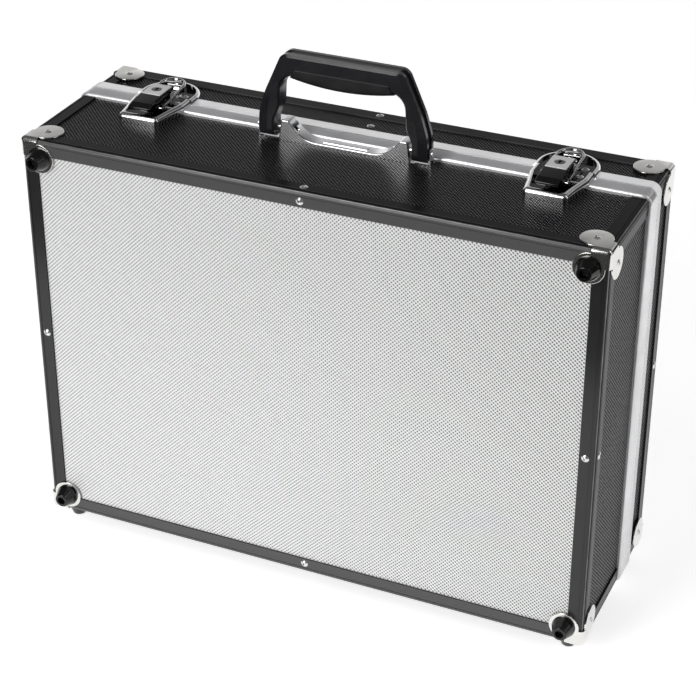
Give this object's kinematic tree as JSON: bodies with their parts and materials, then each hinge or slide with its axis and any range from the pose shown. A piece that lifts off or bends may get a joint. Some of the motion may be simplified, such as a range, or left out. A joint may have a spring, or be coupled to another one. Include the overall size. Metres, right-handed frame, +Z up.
{
  "type": "aluminium tool case",
  "caption": "Hard-sided carrying case with silver panels, dark edge profiles, metal corner caps, draw latches, hinged lid, folding handle and rubber feet.",
  "frame": {"origin": "middle of the whole object's footprint, on the surface that the standing feet rest on", "axes": "+X to the right along the case's width, +Y from the front panel (the tray's floor) to the back panel (the lid), +Z up through the handle"},
  "size_m": [0.4598, 0.1656, 0.4103],
  "materials": {
    "silver_panel": "satin",
    "black_panel": "satin",
    "black_profile": "satin",
    "silver_frame": "satin",
    "chrome": "polished",
    "fastener_steel": "satin",
    "lever_black": "satin",
    "black_rubber": "satin",
    "black_plastic": "matte",
    "grip_rubber": "matte",
    "lining_foam": "matte"
  },
  "bodies": {
    "tray": {"handle_pins": "fastener_steel", "handle_saddle": "chrome", "hinge_leaves_tray": "fastener_steel", "hinge_pins": "fastener_steel", "hinge_rivets_tray": "fastener_steel", "latch_base_left": "chrome", "latch_base_right": "chrome", "latch_lever_pins": "fastener_steel", "latch_rivets": "fastener_steel", "saddle_screws": "fastener_steel", "tray_corner_caps": "chrome", "tray_corner_profiles": "black_profile", "tray_edge_hinge_side": "black_profile", "tray_edge_left": "black_profile", "tray_edge_right": "black_profile", "tray_edge_top": "black_profile", "tray_foot_screws": "fastener_steel", "tray_frame": "silver_frame", "tray_front_feet": "black_rubber", "tray_front_panel": "silver_panel", "tray_lining": "lining_foam", "tray_rivets": "fastener_steel", "tray_standing_feet": "black_rubber", "tray_wall_hinge_side": "black_panel", "tray_wall_left": "black_panel", "tray_wall_right": "black_panel", "tray_wall_top": "black_panel"},
    "lid": {"hinge_leaves_lid": "fastener_steel", "hinge_rivets_lid": "fastener_steel", "latch_strike_left": "chrome", "latch_strike_right": "chrome", "lid_back_panel": "silver_panel", "lid_corner_caps": "chrome", "lid_corner_profiles": "black_profile", "lid_edge_hinge_side": "black_profile", "lid_edge_left": "black_profile", "lid_edge_right": "black_profile", "lid_edge_top": "black_profile", "lid_foot_screws": "fastener_steel", "lid_frame": "silver_frame", "lid_lining": "lining_foam", "lid_rivets": "fastener_steel", "lid_standing_feet": "black_rubber", "lid_wall_hinge_side": "black_panel", "lid_wall_left": "black_panel", "lid_wall_right": "black_panel", "lid_wall_top": "black_panel", "strike_rivets": "fastener_steel"},
    "handle": {"handle_grip": "black_plastic", "handle_pad": "grip_rubber"},
    "lever_left": {"latch_lever_left": "lever_black", "latch_bail_pin_left": "fastener_steel", "key_plate_left": "chrome"},
    "lever_right": {"latch_lever_right": "lever_black", "latch_bail_pin_right": "fastener_steel", "key_plate_right": "chrome"},
    "bail_left": {"latch_bail_left": "chrome"},
    "bail_right": {"latch_bail_right": "chrome"},
    "lock_left": {"lock_plug_left": "fastener_steel"},
    "lock_right": {"lock_plug_right": "fastener_steel"}
  },
  "joints": [
    {"name": "lid_hinge", "type": "hinge", "parent": "tray", "child": "lid", "pos_m": [0, 0.0291, 0.0058], "axis": [-1, 0, 0], "range_deg": [0, 100]},
    {"name": "handle_pivot", "type": "hinge", "parent": "tray", "child": "handle", "pos_m": [0, 0.0076, 0.3501], "axis": [1, 0, 0], "range_deg": [-60, 90]},
    {"name": "lever_left_pivot", "type": "hinge", "parent": "tray", "child": "lever_left", "pos_m": [-0.161, 0.0251, 0.35], "axis": [-1, 0, 0], "range_deg": [0, 100]},
    {"name": "bail_left_pivot", "type": "hinge", "parent": "lever_left", "child": "bail_left", "pos_m": [-0.161, 0.0066, 0.3475], "axis": [-1, 0, 0], "range_deg": [-100, 0]},
    {"name": "lock_left_turn", "type": "hinge", "parent": "lever_left", "child": "lock_left", "pos_m": [-0.161, 0.017, 0.35], "axis": [0, 0, 1], "range_deg": [0, 90]},
    {"name": "lever_right_pivot", "type": "hinge", "parent": "tray", "child": "lever_right", "pos_m": [0.161, 0.0251, 0.35], "axis": [-1, 0, 0], "range_deg": [0, 100]},
    {"name": "bail_right_pivot", "type": "hinge", "parent": "lever_right", "child": "bail_right", "pos_m": [0.161, 0.0066, 0.3475], "axis": [-1, 0, 0], "range_deg": [-100, 0]},
    {"name": "lock_right_turn", "type": "hinge", "parent": "lever_right", "child": "lock_right", "pos_m": [0.161, 0.017, 0.35], "axis": [0, 0, 1], "range_deg": [0, 90]}
  ],
  "couplings": [
    {"joint": "bail_left_pivot", "follows": "lever_left_pivot", "ratio": -1},
    {"joint": "bail_right_pivot", "follows": "lever_right_pivot", "ratio": -1}
  ]
}
